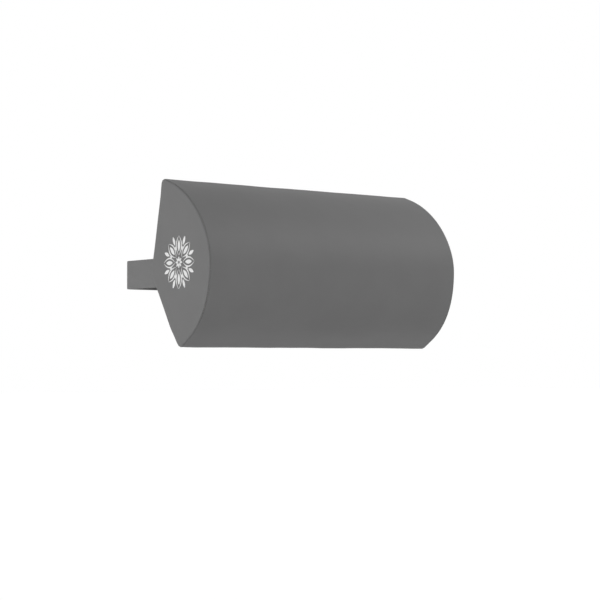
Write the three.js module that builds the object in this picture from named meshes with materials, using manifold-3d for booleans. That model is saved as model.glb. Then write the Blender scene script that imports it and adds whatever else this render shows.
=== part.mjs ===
// Car neck pillow: a D-section foam bolster in a sewn cover with a rear zip, and a webbing strap with a
// side-release buckle that goes round a seat's head restraint.
// Millimetres. X runs along the pillow, Y to the rear and Z up. The origin is the centre of the flat face
// that rests against the head restraint.
import * as THREE from 'three'
import { mergeVertices } from 'three/addons/utils/BufferGeometryUtils.js'
import Module from 'manifold-3d'

const wasm = await Module()
wasm.setup()

// Clearances
const seamGap = 0.3 // between sewn or seated pieces
const strapGap = 0.3 // between the strap and the bar, slot floor or layer beside it
const strapSideGap = 0.5 // between a strap's edge and the slot's end
const latchGap = 0.4 // between the plug and the inside of the socket

// Bolster: the section is drawn in Y and Z, from the top rear edge down the back and round the front
const pillowLength = 310
const faceHeight = 92
const faceLean = THREE.MathUtils.degToRad(12.3)
const lowerBackHeight = 62
const lowerBackLean = THREE.MathUtils.degToRad(32)
const curlForward = 17.5
const curlDrop = 19
const curlLead = 7.8
const noseForward = 80
const noseDrop = 83
const topSlope = THREE.MathUtils.degToRad(10.4)
const topLead = 42
const noseLeadUp = 36.5
const noseLeadDown = 36
const bottomSlope = THREE.MathUtils.degToRad(22)
const bottomLead = 36
const topEdgeTrim = 5
const apexTrim = 9
const bottomEdgeTrim = 5

// Cover
const coverThickness = 2
const endPanelThickness = 2
const endPanelRound = 0.7

// Strap
const strapWidth = 28
const strapThickness = 1.8
const strapReach = 48.5
const strapBendRadius = 6
const strapTailInside = 14
const strapPocketRear = 20
const strapFold = 1.4
const sewnLoopLength = 24
const freeTailLength = 66
const keeperWidth = 10
const keeperWall = 1.2
const keeperRound = 1.6
const keeperFromTailEnd = 8

// Buckle
const buckleWidth = 38
const buckleThickness = 10
const buckleEdgeRound = 0.9
const buckleCorner = 4
const barRound = 0.9
const barOverlap = 1
const socketLength = 33.5
const socketShoulder = 9
const socketCorner = 5
const socketMouth = 9
const socketBarWidth = 4
const socketBarThickness = 3.2
const socketSlot = 4
const cavityDepth = 22
const cavityWidth = 30
const cavityThickness = 6
const windowStart = 2
const windowLength = 10
const windowWaist = 3.2
const plugShoulder = 8.5
const plugThickness = 8.8
const plugSlotLead = 4.2
const plugInnerBar = 3.4
const plugInnerBarThickness = 2.5
const plugSlot = 4.2
const plugOuterBar = 4.4
const plugOuterBarThickness = 2.5
const plugTaper = 1.4
const plugTaperRun = 6
const prongRoot = 11
const prongWidth = 3
const prongTipInside = 2.5
const prongHeadInside = 0.8
const prongTipRound = 0.8
const gripRibs = 3
const gripRibPitch = 1.2
const gripRibDepth = 0.4
const guideWidth = 7
const guideRound = 1.2

// Zip: drawn as seen from behind, x to the right, y up the lower back and z out of the cover
const zipFromApex = 38
const zipWindow = 12
const zipPitch = 3
const zipFromPillowEnd = 47
const zipTeeth = Math.round((pillowLength - 2 * zipFromPillowEnd) / zipPitch)
const tapeWidth = 13
const tapeThickness = 0.8
const tapeSetBack = 0.4
const tapeOverrun = 16
const tabOverTape = 4
const beadInner = 1.7
const beadOuter = 3.4
const toothThickness = 2.4
const toothReach = 1.4
const toothNeck = 0.9
const toothHeadWidth = 1.5
const toothNeckWidth = 0.9
const toothRootWidth = 1.1
const sliderLength = 11
const sliderPlate = 1
const sliderRunningGap = 0.3
const sliderFlange = 0.9
const sliderShoulder = 0.7
const sliderCorner = 1
const sliderNotch = 1.2
const sliderFlare = 3
const flangeLead = 0.6
const flangeTail = 2
const tapeSlotGap = 0.35
const postLength = 4.2
const postFromFront = 0.7
const bailLength = 6.8
const bailLeg = 1.2
const bailWidth = 1.8
const bailRise = 3.3
const bailBridge = 0.9
const pullPinDiameter = 1.2
const pullLength = 25
const pullArmLength = 5.6
const pullWidth = 6.4
const pullThickness = 1.4
const pullCorner = 0.8
const pullEdgeRound = 0.3
const pullBeyondPin = 0.9
const pullSlotWidth = 2.6
const pullSlotLength = 9
const pullSlotFromEnd = 2.4
const stopLength = 3
const stopWall = 0.7

// Solids made to join overlap a little, and cutters reach past what they cut
const joinOverlap = 0.2
const cutOver = 1

const colours = {
  cover: { color: 0x7c7c7c, roughness: 0.62, metalness: 0 },
  panel: { color: 0x858585, roughness: 0.62, metalness: 0 },
  strap: { color: 0x7f7f7f, roughness: 0.85, metalness: 0 },
  foam: { color: 0xe9e3d2, roughness: 0.95, metalness: 0 },
  tape: { color: 0x6c6c6c, roughness: 0.85, metalness: 0 },
  metal: { color: 0x8f9091, roughness: 0.35, metalness: 0.9 },
  plastic: { color: 0x4a4b4c, roughness: 0.5, metalness: 0 }
}

// Mesh helpers
function named(name, geometry, finish) {
  const mesh = new THREE.Mesh(geometry, new THREE.MeshStandardMaterial(finish))
  mesh.name = name
  return mesh
}

function toSolid(geometry) {
  const bare = geometry.clone()
  bare.deleteAttribute('normal')
  bare.deleteAttribute('uv')
  const merged = mergeVertices(bare, 1e-4)
  const mesh = new wasm.Mesh({
    numProp: 3,
    vertProperties: new Float32Array(merged.attributes.position.array),
    triVerts: new Uint32Array(merged.index.array)
  })
  return new wasm.Manifold(mesh)
}

function toGeometry(solid) {
  const mesh = solid.getMesh()
  const geometry = new THREE.BufferGeometry()
  geometry.setAttribute('position', new THREE.BufferAttribute(new Float32Array(mesh.vertProperties), 3))
  geometry.setIndex(new THREE.BufferAttribute(new Uint32Array(mesh.triVerts), 1))
  return geometry
}

function join(geometries) {
  return toGeometry(geometries.map(toSolid).reduce((whole, piece) => whole.add(piece)))
}

function cut(geometry, cutters) {
  return toGeometry(cutters.map(toSolid).reduce((whole, cutter) => whole.subtract(cutter), toSolid(geometry)))
}

function block(lowX, highX, lowY, highY, lowZ, highZ) {
  const box = new THREE.BoxGeometry(highX - lowX, highY - lowY, highZ - lowZ)
  return box.translate((lowX + highX) / 2, (lowY + highY) / 2, (lowZ + highZ) / 2)
}

// A flat shape given depth, from z = start up, with its edges rounded by edgeRound inside its own outline
function slab(shape, start, depth, edgeRound = 0, rounding = 2) {
  const geometry = new THREE.ExtrudeGeometry(shape, {
    depth: depth - 2 * edgeRound,
    bevelEnabled: edgeRound > 0,
    bevelThickness: edgeRound,
    bevelSize: edgeRound,
    bevelOffset: -edgeRound,
    bevelSegments: rounding,
    curveSegments: 6
  })
  return geometry.translate(0, 0, start + edgeRound)
}

// Turns a geometry whose shape lies in x and y so that the shape's x and y and its depth run along other axes
function turned(geometry, shapeX, shapeY, depthAxis) {
  return geometry.applyMatrix4(new THREE.Matrix4().makeBasis(shapeX, shapeY, depthAxis))
}

const axisX = new THREE.Vector3(1, 0, 0)
const axisY = new THREE.Vector3(0, 1, 0)
const axisZ = new THREE.Vector3(0, 0, 1)

// Section shapes in Y and Z become pieces that run along X
function alongPillow(shape, length, edgeRound = 0) {
  return turned(slab(shape, -length / 2, length, edgeRound), axisY, axisZ, axisX)
}

function roundedBox(lowX, highX, lowY, highY, radius) {
  const shape = new THREE.Shape()
  shape.moveTo(lowX + radius, lowY)
  shape.lineTo(highX - radius, lowY)
  shape.absarc(highX - radius, lowY + radius, radius, -Math.PI / 2, 0)
  shape.lineTo(highX, highY - radius)
  shape.absarc(highX - radius, highY - radius, radius, 0, Math.PI / 2)
  shape.lineTo(lowX + radius, highY)
  shape.absarc(lowX + radius, highY - radius, radius, Math.PI / 2, Math.PI)
  shape.lineTo(lowX, lowY + radius)
  shape.absarc(lowX + radius, lowY + radius, radius, Math.PI, Math.PI * 1.5)
  return shape
}

// Bolster section
const faceUp = new THREE.Vector2(-Math.sin(faceLean), Math.cos(faceLean))
const lowerBackDown = new THREE.Vector2(-Math.sin(lowerBackLean), -Math.cos(lowerBackLean))
const topEdge = faceUp.clone().multiplyScalar(faceHeight / 2)
const apex = faceUp.clone().multiplyScalar(-faceHeight / 2)
const under = apex.clone().addScaledVector(lowerBackDown, lowerBackHeight)
const bottomEdge = under.clone().add(new THREE.Vector2(-curlForward, -curlDrop))
const nose = topEdge.clone().add(new THREE.Vector2(-noseForward, -noseDrop))

function pointsAlong(curve, trimStart, trimEnd, divisions) {
  const length = curve.getLength()
  const start = trimStart / length
  const span = 1 - start - trimEnd / length
  const share = (i) => Math.min(1, start + (span * i) / divisions)
  return Array.from({ length: divisions + 1 }, (_, i) => curve.getPointAt(share(i)))
}

function pointsRound(before, corner, after) {
  return new THREE.QuadraticBezierCurve(before, corner, after).getPoints(4).slice(1, -1)
}

// Each stretch of the section, in order, with its rounded corners between them
function sectionStretches() {
  const curlControl = under.clone().addScaledVector(lowerBackDown, curlLead)
  const bottomControl = bottomEdge.clone()
    .add(new THREE.Vector2(-Math.cos(bottomSlope), Math.sin(bottomSlope)).multiplyScalar(bottomLead))
  const noseLow = nose.clone().add(new THREE.Vector2(0, -noseLeadDown))
  const noseHigh = nose.clone().add(new THREE.Vector2(0, noseLeadUp))
  const topControl = topEdge.clone()
    .add(new THREE.Vector2(-Math.cos(topSlope), -Math.sin(topSlope)).multiplyScalar(topLead))
  const face = pointsAlong(new THREE.LineCurve(topEdge, apex), topEdgeTrim, apexTrim, 1)
  const lowerBack = pointsAlong(new THREE.LineCurve(apex, under), apexTrim, 0, 1)
  const curlCurve = new THREE.QuadraticBezierCurve(under, curlControl, bottomEdge)
  const curl = pointsAlong(curlCurve, 0, bottomEdgeTrim, 4).slice(1)
  const frontLow = pointsAlong(
    new THREE.CubicBezierCurve(bottomEdge, bottomControl, noseLow, nose), bottomEdgeTrim, 0, 9)
  const frontHigh = pointsAlong(
    new THREE.CubicBezierCurve(nose, noseHigh, topControl, topEdge), 0, topEdgeTrim, 12).slice(1)
  const front = [...frontLow, ...frontHigh]
  return {
    face,
    apexRound: pointsRound(face.at(-1), apex, lowerBack[0]),
    lowerBack,
    curl,
    bottomRound: pointsRound(curl.at(-1), bottomEdge, front[0]),
    front,
    topRound: pointsRound(front.at(-1), topEdge, face[0])
  }
}

const stretches = sectionStretches()
const section = Object.values(stretches).flat()

// The section moved inwards by a distance, point for point
function inset(points, distance) {
  return points.map((point, i) => {
    const before = points.at(i - 1)
    const after = points[(i + 1) % points.length]
    const into = point.clone().sub(before).normalize()
    const out = after.clone().sub(point).normalize()
    const normalIn = new THREE.Vector2(into.y, -into.x)
    const normalOut = new THREE.Vector2(out.y, -out.x)
    const scale = distance / (1 + normalIn.dot(normalOut))
    return point.clone().addScaledVector(normalIn.add(normalOut), scale)
  })
}

// A sheet that follows the section between two distances along it, counted from the top of the flat face
function coverStrip(from, to) {
  const inner = inset(section, coverThickness)
  const outerRun = []
  const innerRun = []
  let travelled = 0
  for (let i = 0; i < section.length; i += 1) {
    const next = (i + 1) % section.length
    const step = section[i].distanceTo(section[next])
    for (const cutAt of [from, to]) {
      const share = (cutAt - travelled) / step
      if (share >= 0 && share < 1) {
        outerRun.push({ at: cutAt, point: section[i].clone().lerp(section[next], share) })
        innerRun.push({ at: cutAt, point: inner[i].clone().lerp(inner[next], share) })
      }
    }
    if (travelled > from && travelled < to) {
      outerRun.push({ at: travelled, point: section[i] })
      innerRun.push({ at: travelled, point: inner[i] })
    }
    travelled += step
  }
  const inOrder = (run) => run.sort((a, b) => a.at - b.at).map((entry) => entry.point)
  return new THREE.Shape([...inOrder(outerRun), ...inOrder(innerRun).reverse()])
}

function runLength(points, closed = false) {
  const steps = points.slice(1).map((point, i) => point.distanceTo(points[i]))
  return steps.reduce((sum, step) => sum + step, closed ? points[0].distanceTo(points.at(-1)) : 0)
}

// Seams, as distances along the section
const perimeter = runLength(section, true)
const beforeLowerBack = runLength([...stretches.face, ...stretches.apexRound, stretches.lowerBack[0]])
const zipAt = beforeLowerBack + zipFromApex - apexTrim
const bottomSeam = beforeLowerBack + runLength([...stretches.lowerBack, ...stretches.curl])
const coverLength = pillowLength - 2 * (endPanelThickness + seamGap)

// Strap places
const strapCentreZ = apex.y
const strapLowZ = strapCentreZ - strapWidth / 2
const strapHighZ = strapCentreZ + strapWidth / 2
const strapSideX = coverLength / 2 - strapThickness / 2
const strapRearY = apex.x + strapReach
const strapLayer = strapThickness + strapGap

function strapPocket(side, frontY) {
  const inner = coverLength / 2 - strapThickness - seamGap
  const outer = coverLength / 2 + cutOver
  const lowX = side < 0 ? -outer : inner
  const highX = side < 0 ? -inner : outer
  return block(lowX, highX, frontY, apex.x + strapPocketRear, strapLowZ - seamGap, strapHighZ + seamGap)
}

function sewnPanels() {
  const frontShape = coverStrip(bottomSeam + seamGap / 2, perimeter - seamGap / 2)
  const upperShape = coverStrip(seamGap / 2, zipAt - zipWindow / 2)
  const lowerShape = coverStrip(zipAt + zipWindow / 2, bottomSeam - seamGap / 2)
  const notches = [strapPocket(-1, -faceHeight), strapPocket(1, -faceHeight)]
  return [
    named('front_panel', alongPillow(frontShape, coverLength), colours.cover),
    named('back_panel_upper', cut(alongPillow(upperShape, coverLength), notches), colours.cover),
    named('back_panel_lower', alongPillow(lowerShape, coverLength), colours.cover)
  ]
}

function endPanel(name, side) {
  const geometry = alongPillow(new THREE.Shape(section), endPanelThickness, endPanelRound)
  const mesh = named(name, geometry, colours.panel)
  mesh.position.x = (side * (pillowLength - endPanelThickness)) / 2
  return mesh
}

// Zip frame: where the zip's centre line crosses the tape's middle
const zipUp = new THREE.Vector3(0, -lowerBackDown.x, -lowerBackDown.y)
const zipOut = new THREE.Vector3().crossVectors(zipUp, axisX)
const zipRight = axisX.clone().negate()
const tapeDepth = coverThickness + seamGap + tapeThickness / 2
const zipOnSurface = apex.clone().addScaledVector(lowerBackDown, zipFromApex)
const zipPlace = new THREE.Vector3(0, zipOnSurface.x, zipOnSurface.y).addScaledVector(zipOut, -tapeDepth)
const zipFrame = new THREE.Matrix4().makeBasis(zipRight, zipUp, zipOut).setPosition(zipPlace)

const chainLength = zipTeeth * zipPitch
const tapeLength = chainLength + 2 * tapeOverrun
const tapeOuter = beadInner + tapeWidth
const tabStart = tapeLength / 2 - tabOverTape
const beadEnd = tabStart - seamGap
const sliderInside = toothThickness / 2 + sliderRunningGap
const sliderTop = sliderInside + sliderPlate
const sliderX = chainLength / 2 + sliderRunningGap + 0.5

function foamCore() {
  const core = alongPillow(new THREE.Shape(inset(section, coverThickness + seamGap)), coverLength)
  const pockets = [-1, 1].map((side) => strapPocket(side, apex.x - strapTailInside - seamGap))
  const above = tapeDepth + cutOver
  const bedEnd = tapeLength / 2 + seamGap
  const tapeBed = block(-bedEnd, bedEnd, -tapeOuter - seamGap, tapeOuter + seamGap,
    -tapeThickness / 2 - seamGap, above)
  const sliderHalf = beadOuter + sliderRunningGap + sliderFlange + sliderShoulder + seamGap
  const sliderBed = block(-bedEnd, bedEnd, -sliderHalf, sliderHalf, -sliderTop - seamGap, above)
  const beds = [tapeBed, sliderBed].map((bed) => bed.applyMatrix4(zipFrame))
  return named('foam_core', cut(core, [...pockets, ...beds]), colours.foam)
}

// Cloth tabs close the slit between the zip's ends and the pillow's ends
function zipEndTab(name, side) {
  const width = zipWindow - 2 * seamGap
  const end = coverLength / 2
  const low = side < 0 ? -end : tabStart
  const tab = block(low, low + end - tabStart, -width / 2, width / 2, 0, coverThickness)
  tab.translate(0, 0, tapeThickness / 2 + seamGap)
  return named(name, tab.applyMatrix4(zipFrame), colours.cover)
}

// One side of the zip: the woven tape, and the bead with its moulded teeth as one comb
function zipTape(name, side) {
  const teethStart = -chainLength / 2 + (side > 0 ? zipPitch * 0.25 : zipPitch * 0.75)
  const comb = [new THREE.Vector2(-beadEnd, beadOuter), new THREE.Vector2(-beadEnd, beadInner)]
  for (let i = 0; i < zipTeeth; i += 1) {
    const x = teethStart + i * zipPitch
    comb.push(
      new THREE.Vector2(x - toothRootWidth / 2, beadInner),
      new THREE.Vector2(x - toothNeckWidth / 2, toothNeck),
      new THREE.Vector2(x - toothHeadWidth / 2, -toothNeck),
      new THREE.Vector2(x - toothNeckWidth / 2, -toothReach),
      new THREE.Vector2(x + toothNeckWidth / 2, -toothReach),
      new THREE.Vector2(x + toothHeadWidth / 2, -toothNeck),
      new THREE.Vector2(x + toothNeckWidth / 2, toothNeck),
      new THREE.Vector2(x + toothRootWidth / 2, beadInner)
    )
  }
  comb.push(new THREE.Vector2(beadEnd, beadInner), new THREE.Vector2(beadEnd, beadOuter))
  const outline = comb.map((point) => new THREE.Vector2(point.x, point.y * side))
  const chain = slab(new THREE.Shape(outline), -toothThickness / 2, toothThickness)
  const inner = beadInner + tapeSetBack
  const low = side < 0 ? -tapeOuter : inner
  const tape = block(-tapeLength / 2, tapeLength / 2, low, low + tapeOuter - inner,
    -tapeThickness / 2, tapeThickness / 2)
  return named(name, join([chain, tape]).applyMatrix4(zipFrame), colours.tape)
}

// Clips round the bead stop the slider; the section is drawn in y and z and runs along x
function topStop(name, side) {
  const wallOut = toothThickness / 2 + seamGap + stopWall
  const wallIn = toothThickness / 2 + seamGap
  const lips = tapeThickness / 2 + seamGap
  const near = beadInner - seamGap - stopWall
  const far = beadOuter + seamGap + stopWall
  const half = [
    [near, wallOut], [far, wallOut], [far, lips],
    [beadOuter + seamGap, lips], [beadOuter + seamGap, wallIn], [beadInner - seamGap, wallIn]
  ]
  const mirrored = half.map(([y, z]) => [y, -z]).reverse()
  const points = [...half, ...mirrored].map(([y, z]) => new THREE.Vector2(y * side, z))
  const clip = turned(slab(new THREE.Shape(points), 0, stopLength), axisY, axisZ, axisX)
  clip.translate(sliderX + sliderLength / 2 + sliderRunningGap, 0, 0)
  return named(name, clip.applyMatrix4(zipFrame), colours.metal)
}

function bottomStop() {
  const wallOut = toothThickness / 2 + seamGap + stopWall
  const wallIn = toothThickness / 2 + seamGap
  const lips = tapeThickness / 2 + seamGap
  const far = beadOuter + seamGap + stopWall
  const start = -chainLength / 2 - seamGap - stopLength
  const body = block(start, start + stopLength, -far, far, -wallOut, wallOut)
  const channels = [-1, 1].flatMap((side) => {
    const beadLow = side < 0 ? -beadOuter - seamGap : beadInner - seamGap
    const tapeLow = side < 0 ? -far - cutOver : beadOuter
    const along = [start - cutOver, start + stopLength + cutOver]
    return [
      block(...along, beadLow, beadLow + beadOuter - beadInner + 2 * seamGap, -wallIn, wallIn),
      block(...along, tapeLow, tapeLow + far + cutOver - beadOuter, -lips, lips)
    ]
  })
  return named('zip_bottom_stop', cut(body, channels).applyMatrix4(zipFrame), colours.metal)
}

// Zip slider: two plates joined by the post that parts the teeth, side flanges and the bail for the pull
const flangeIn = beadOuter + sliderRunningGap
const flangeOut = flangeIn + sliderFlange
const pinRise = sliderTop + bailRise - bailBridge - seamGap - pullPinDiameter / 2
const pinX = -bailLength / 2 + bailLeg + seamGap + pullPinDiameter / 2

function sliderPlateShape() {
  const half = sliderLength / 2
  const wide = flangeOut + sliderShoulder
  const round = sliderCorner
  const shape = new THREE.Shape()
  shape.moveTo(-half, -flangeOut + round)
  shape.quadraticCurveTo(-half, -flangeOut, -half + round, -flangeOut)
  shape.lineTo(0, -flangeOut)
  shape.quadraticCurveTo(half - sliderFlare, -wide, half - round, -wide)
  shape.quadraticCurveTo(half, -wide, half, -wide + round)
  shape.lineTo(half, -beadInner)
  shape.quadraticCurveTo(half - sliderNotch, 0, half, beadInner)
  shape.lineTo(half, wide - round)
  shape.quadraticCurveTo(half, wide, half - round, wide)
  shape.quadraticCurveTo(half - sliderFlare, wide, 0, flangeOut)
  shape.lineTo(-half + round, flangeOut)
  shape.quadraticCurveTo(-half, flangeOut, -half, flangeOut - round)
  return shape
}

function zipSlider() {
  const postFront = sliderLength / 2 - postFromFront
  const postHalf = beadInner - seamGap - joinOverlap / 2
  const post = new THREE.Shape([
    new THREE.Vector2(postFront - postLength, 0),
    new THREE.Vector2(postFront - postLength / 2, -postHalf),
    new THREE.Vector2(postFront, 0),
    new THREE.Vector2(postFront - postLength / 2, postHalf)
  ])
  const reach = sliderInside + joinOverlap
  const pieces = [
    slab(sliderPlateShape(), sliderInside, sliderPlate),
    slab(sliderPlateShape(), -sliderTop, sliderPlate),
    slab(post, -reach, 2 * reach)
  ]
  const lip = tapeThickness / 2 + tapeSlotGap
  for (const side of [-1, 1]) {
    const low = side < 0 ? -flangeOut : flangeIn
    const along = [-sliderLength / 2 + flangeLead, sliderLength / 2 - flangeTail]
    pieces.push(block(...along, low, low + sliderFlange, lip, reach))
    pieces.push(block(...along, low, low + sliderFlange, -reach, -lip))
  }
  const half = bailLength / 2
  const foot = sliderTop - joinOverlap
  const crown = sliderTop + bailRise
  const bail = new THREE.Shape()
  bail.moveTo(-half, foot)
  bail.lineTo(-half, crown - sliderCorner)
  bail.quadraticCurveTo(-half, crown, -half + sliderCorner, crown)
  bail.lineTo(half - sliderCorner, crown)
  bail.quadraticCurveTo(half, crown, half, crown - sliderCorner)
  bail.lineTo(half, foot)
  bail.lineTo(half - bailLeg, foot)
  bail.lineTo(half - bailLeg, crown - bailBridge)
  bail.lineTo(-half + bailLeg, crown - bailBridge)
  bail.lineTo(-half + bailLeg, foot)
  pieces.push(turned(slab(bail, -bailWidth / 2, bailWidth), axisX, axisZ, axisY.clone().negate()))
  const body = join(pieces).translate(sliderX, 0, 0)
  return named('zip_slider', body.applyMatrix4(zipFrame), colours.metal)
}

// The pull lies over the chain; its pin passes under the bail
function zipPull() {
  const armIn = bailWidth / 2 + seamGap
  const end = pinX - pullLength
  const front = pinX + pullBeyondPin
  const plate = roundedBox(end, front, -pullWidth / 2, pullWidth / 2, pullCorner)
  const eye = block(pinX - pullArmLength, front + cutOver, -armIn, armIn, -pullThickness, pullThickness)
  const slotStart = end + pullSlotFromEnd
  const slot = roundedBox(slotStart, slotStart + pullSlotLength, -pullSlotWidth / 2, pullSlotWidth / 2, 1)
  const slotCutter = slab(slot, -pullThickness, 2 * pullThickness)
  const arms = cut(slab(plate, -pullThickness / 2, pullThickness, pullEdgeRound, 1), [eye, slotCutter])
  const pinLength = 2 * (armIn + 2 * joinOverlap)
  const pin = new THREE.CylinderGeometry(pullPinDiameter / 2, pullPinDiameter / 2, pinLength, 10)
  pin.translate(pinX, 0, 0)
  const body = join([arms, pin]).translate(sliderX, 0, pinRise)
  return named('zip_pull', body.applyMatrix4(zipFrame), colours.metal)
}

// Straps: a path in X and Y with rounded corners, given the webbing's thickness and then its width along Z
function roundedPath(corners) {
  return corners.flatMap(([x, y, radius = 0], i) => {
    const corner = new THREE.Vector2(x, y)
    if (!radius) return [corner]
    const before = new THREE.Vector2(...corners[i - 1]).sub(corner).normalize()
    const after = new THREE.Vector2(...corners[i + 1]).sub(corner).normalize()
    const start = corner.clone().addScaledVector(before, radius)
    const centre = start.clone().addScaledVector(after, radius)
    const steps = radius > 3 ? 6 : 3
    return Array.from({ length: steps + 1 }, (_, k) => {
      const angle = (k / steps) * (Math.PI / 2)
      return centre.clone()
        .addScaledVector(after, -radius * Math.cos(angle))
        .addScaledVector(before, -radius * Math.sin(angle))
    })
  })
}

function ribbon(path, thickness) {
  const sides = [1, -1].map((side) => path.map((point, i) => {
    const into = point.clone().sub(path[i - 1] ?? point).normalize()
    const out = (path[i + 1] ?? point).clone().sub(point).normalize()
    const ends = i === 0 ? [out, out] : i === path.length - 1 ? [into, into] : [into, out]
    const [normalIn, normalOut] = ends.map((way) => new THREE.Vector2(-way.y, way.x))
    const scale = (side * thickness) / 2 / (1 + normalIn.dot(normalOut))
    return point.clone().addScaledVector(normalIn.add(normalOut), scale)
  }))
  return new THREE.Shape([...sides[0], ...sides[1].reverse()])
}

function strap(name, corners) {
  const geometry = slab(ribbon(roundedPath(corners), strapThickness), strapLowZ, strapWidth)
  return named(name, geometry, colours.strap)
}

const bendCentre = strapBendRadius - strapThickness / 2
const tailFrontY = apex.x - strapTailInside
const secondLayerY = strapRearY + strapLayer
const buckleY = strapRearY + strapThickness / 2 + strapGap + socketBarThickness / 2

// Socket bar and slot, from the strap's side of the buckle
const socketEnd = socketMouth - socketLength
const socketBarEnd = socketEnd + socketBarWidth
const socketFarLayerY = buckleY + socketBarThickness / 2 + strapGap + strapThickness / 2

function strapLeft() {
  const upX = socketBarEnd + strapGap + strapThickness / 2
  const drop = (socketFarLayerY - secondLayerY) / 2
  const downX = socketEnd - 0.7 - drop
  return strap('strap_left', [
    [-strapSideX, tailFrontY],
    [-strapSideX, strapRearY, bendCentre],
    [upX, strapRearY, strapFold],
    [upX, socketFarLayerY, strapFold],
    [downX, socketFarLayerY, drop],
    [downX, secondLayerY, drop],
    [downX - sewnLoopLength, secondLayerY]
  ])
}

// Plug bars: the strap goes under both, up round the inner one and out between the outer one and itself
const plugStart = socketMouth + seamGap
const innerBarX = plugStart + plugShoulder + plugSlotLead
const innerBarLowY = strapRearY + strapThickness / 2 + strapGap
const innerBarHighY = innerBarLowY + plugInnerBarThickness
const outerBarX = innerBarX + plugInnerBar + plugSlot
const outerBarLowY = secondLayerY + strapThickness / 2 + strapGap
const plugEnd = outerBarX + plugOuterBar
const overBarY = innerBarHighY + strapGap + strapThickness / 2

function strapRight() {
  const upX = innerBarX - strapGap - strapThickness / 2
  const drop = (overBarY - secondLayerY) / 2
  const downX = innerBarX + plugInnerBar + 0.4 + drop
  return strap('strap_right', [
    [strapSideX, tailFrontY],
    [strapSideX, strapRearY, bendCentre],
    [upX, strapRearY, strapFold],
    [upX, overBarY, strapFold],
    [downX, overBarY, drop],
    [downX, secondLayerY, drop],
    [downX + freeTailLength, secondLayerY]
  ])
}

function strapKeeper() {
  const tailEnd = innerBarX + plugInnerBar + freeTailLength
  const lowY = strapRearY - strapThickness / 2 - strapGap
  const highY = secondLayerY + strapThickness / 2 + strapGap
  const side = strapWidth / 2 + strapGap
  const ring = roundedBox(lowY - keeperWall, highY + keeperWall, -side - keeperWall, side + keeperWall,
    keeperRound)
  ring.holes.push(roundedBox(lowY, highY, -side, side, keeperRound - keeperWall))
  const loop = turned(slab(ring, 0, keeperWidth), axisY, axisZ, axisX)
  loop.translate(tailEnd - keeperFromTailEnd - keeperWidth, 0, strapCentreZ)
  return named('strap_keeper', loop, colours.strap)
}

// Buckle pieces: outlines in X and Z, thickness along Y, centred on the strap's width
function buckleSlab(shape, centreY, thickness, edgeRound = 0) {
  const geometry = slab(shape, -thickness / 2, thickness, edgeRound)
  return turned(geometry, axisX, axisZ, axisY.clone().negate()).translate(0, centreY, strapCentreZ)
}

function buckleBar(lowX, highX, lowY, highY, width) {
  const bar = slab(roundedBox(lowX, highX, lowY, highY, barRound), -width / 2, width)
  return bar.translate(0, 0, strapCentreZ)
}

const slotHalf = strapWidth / 2 + strapSideGap
const barLength = 2 * (slotHalf + barOverlap)

function buckleSocket() {
  const half = buckleWidth / 2
  const waistX = windowStart - windowLength / 2
  const shoulderX = socketEnd + socketShoulder
  const shape = new THREE.Shape()
  shape.moveTo(socketMouth, -half + buckleCorner)
  shape.quadraticCurveTo(socketMouth, -half, socketMouth - buckleCorner, -half)
  shape.quadraticCurveTo(waistX, -half + 2 * windowWaist, shoulderX, -half)
  shape.quadraticCurveTo(socketEnd, -half, socketEnd, -half + socketCorner)
  shape.lineTo(socketEnd, half - socketCorner)
  shape.quadraticCurveTo(socketEnd, half, shoulderX, half)
  shape.quadraticCurveTo(waistX, half - 2 * windowWaist, socketMouth - buckleCorner, half)
  shape.quadraticCurveTo(socketMouth, half, socketMouth, half - buckleCorner)
  const body = buckleSlab(shape, buckleY, buckleThickness, buckleEdgeRound)
  const middle = strapCentreZ
  const inside = [buckleY - cavityThickness / 2, buckleY + cavityThickness / 2]
  const through = [buckleY - buckleThickness, buckleY + buckleThickness]
  const cavity = block(socketMouth - cavityDepth, socketMouth + cutOver, ...inside,
    middle - cavityWidth / 2, middle + cavityWidth / 2)
  const windows = block(windowStart - windowLength, windowStart, ...inside,
    middle - buckleWidth, middle + buckleWidth)
  const slot = block(socketEnd - cutOver, socketBarEnd + socketSlot, ...through,
    middle - slotHalf, middle + slotHalf)
  const bar = buckleBar(socketEnd, socketBarEnd, buckleY - socketBarThickness / 2,
    buckleY + socketBarThickness / 2, barLength)
  return named('buckle_socket', join([cut(body, [cavity, windows, slot]), bar]), colours.plastic)
}

// A prong runs from the plug into the socket, swells into a ribbed head at the window and narrows to its tip
function prongShape(side) {
  const tip = socketMouth - cavityDepth + prongTipInside
  const catchX = windowStart - latchGap
  const headEnd = windowStart - windowLength + latchGap
  const reach = buckleWidth / 2 - prongHeadInside
  const outer = prongRoot + prongWidth / 2
  const inner = prongRoot - prongWidth / 2
  const round = prongTipRound
  const points = [
    [plugStart + barOverlap, inner], [plugStart + barOverlap, outer], [catchX + 2 * round, outer],
    [catchX, outer + round], [catchX, reach - round], [catchX - round, reach]
  ]
  for (let i = 0; i < gripRibs; i += 1) {
    const x = catchX - round - (i + 0.5) * gripRibPitch
    points.push([x, reach], [x, reach - gripRibDepth])
    points.push([x - gripRibPitch / 2, reach - gripRibDepth], [x - gripRibPitch / 2, reach])
  }
  points.push(
    [headEnd + round, cavityWidth / 2 - latchGap], [tip + round, outer - round], [tip, outer - 2 * round],
    [tip, inner + round], [tip + round, inner]
  )
  return new THREE.Shape(points.map(([x, z]) => new THREE.Vector2(x, z * side)))
}

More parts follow.
